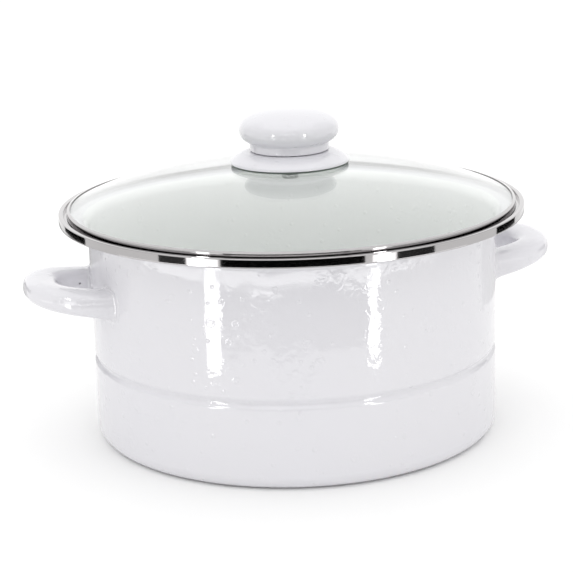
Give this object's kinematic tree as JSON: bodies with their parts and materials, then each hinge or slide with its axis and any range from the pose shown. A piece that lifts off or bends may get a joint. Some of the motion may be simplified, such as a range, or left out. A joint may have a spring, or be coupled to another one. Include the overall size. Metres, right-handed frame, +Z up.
{
  "type": "water bath canner",
  "caption": "White enamelled steel canning pot with two loop handles, a domed glass lid with a round knob, and a lift-out wire jar rack with folding bails.",
  "frame": {"origin": "centre of the base, on the surface that the pot stands on", "axes": "+Z up; X runs through the two handles; the front is -Y"},
  "size_m": [0.322, 0.273, 0.1913],
  "materials": {
    "white_enamel": "fired porcelain enamel on steel, high gloss white with a fine raised speckle",
    "polished_steel": "polished stainless steel trim",
    "lid_glass": "clear tempered glass with a faint green-grey tint",
    "silicone": "matt grey-green silicone",
    "fastener_steel": "plain stainless steel",
    "rack_wire": "bright drawn stainless wire"
  },
  "bodies": {
    "pot": {"pot_body": "white_enamel", "pot_rim_band": "polished_steel", "handle_left": "white_enamel", "handle_right": "white_enamel"},
    "lid": {"lid_glass": "lid_glass", "lid_rim_band": "polished_steel", "knob_bulb": "white_enamel", "knob_base": "white_enamel", "knob_gasket": "silicone", "knob_insert": "fastener_steel", "glass_seal": "silicone", "knob_washer": "fastener_steel", "knob_lock_washer": "fastener_steel", "knob_screw": "fastener_steel"},
    "rack": {"rack_outer_ring": "rack_wire", "rack_inner_ring": "rack_wire", "rack_wire_1": "rack_wire", "rack_wire_2": "rack_wire", "rack_wire_3": "rack_wire", "rack_wire_4": "rack_wire", "rack_wire_5": "rack_wire", "rack_wire_6": "rack_wire", "rack_wire_7": "rack_wire", "rack_hinge_bar_left": "rack_wire", "rack_hinge_bar_right": "rack_wire", "rack_foot_1": "rack_wire", "rack_foot_2": "rack_wire", "rack_foot_3": "rack_wire", "rack_foot_4": "rack_wire"},
    "bail_left": {"bail_left": "rack_wire"},
    "bail_right": {"bail_right": "rack_wire"}
  },
  "joints": [
    {"name": "lid_lift", "type": "slide", "parent": "pot", "child": "lid", "axis": [0, 0, 1], "range_m": [0, 0.3]},
    {"name": "rack_lift", "type": "slide", "parent": "pot", "child": "rack", "axis": [0, 0, 1], "range_m": [0, 0.15]},
    {"name": "bail_right_fold", "type": "hinge", "parent": "rack", "child": "bail_right", "pos_m": [0.093, 0, 0.0181], "axis": [0, 1, 0], "range_deg": [0, 105]},
    {"name": "bail_left_fold", "type": "hinge", "parent": "rack", "child": "bail_left", "pos_m": [-0.093, 0, 0.0181], "axis": [0, -1, 0], "range_deg": [0, 105]}
  ],
  "couplings": [
    {"joint": "rack_lift", "follows": "lid_lift", "ratio": 0.5}
  ]
}
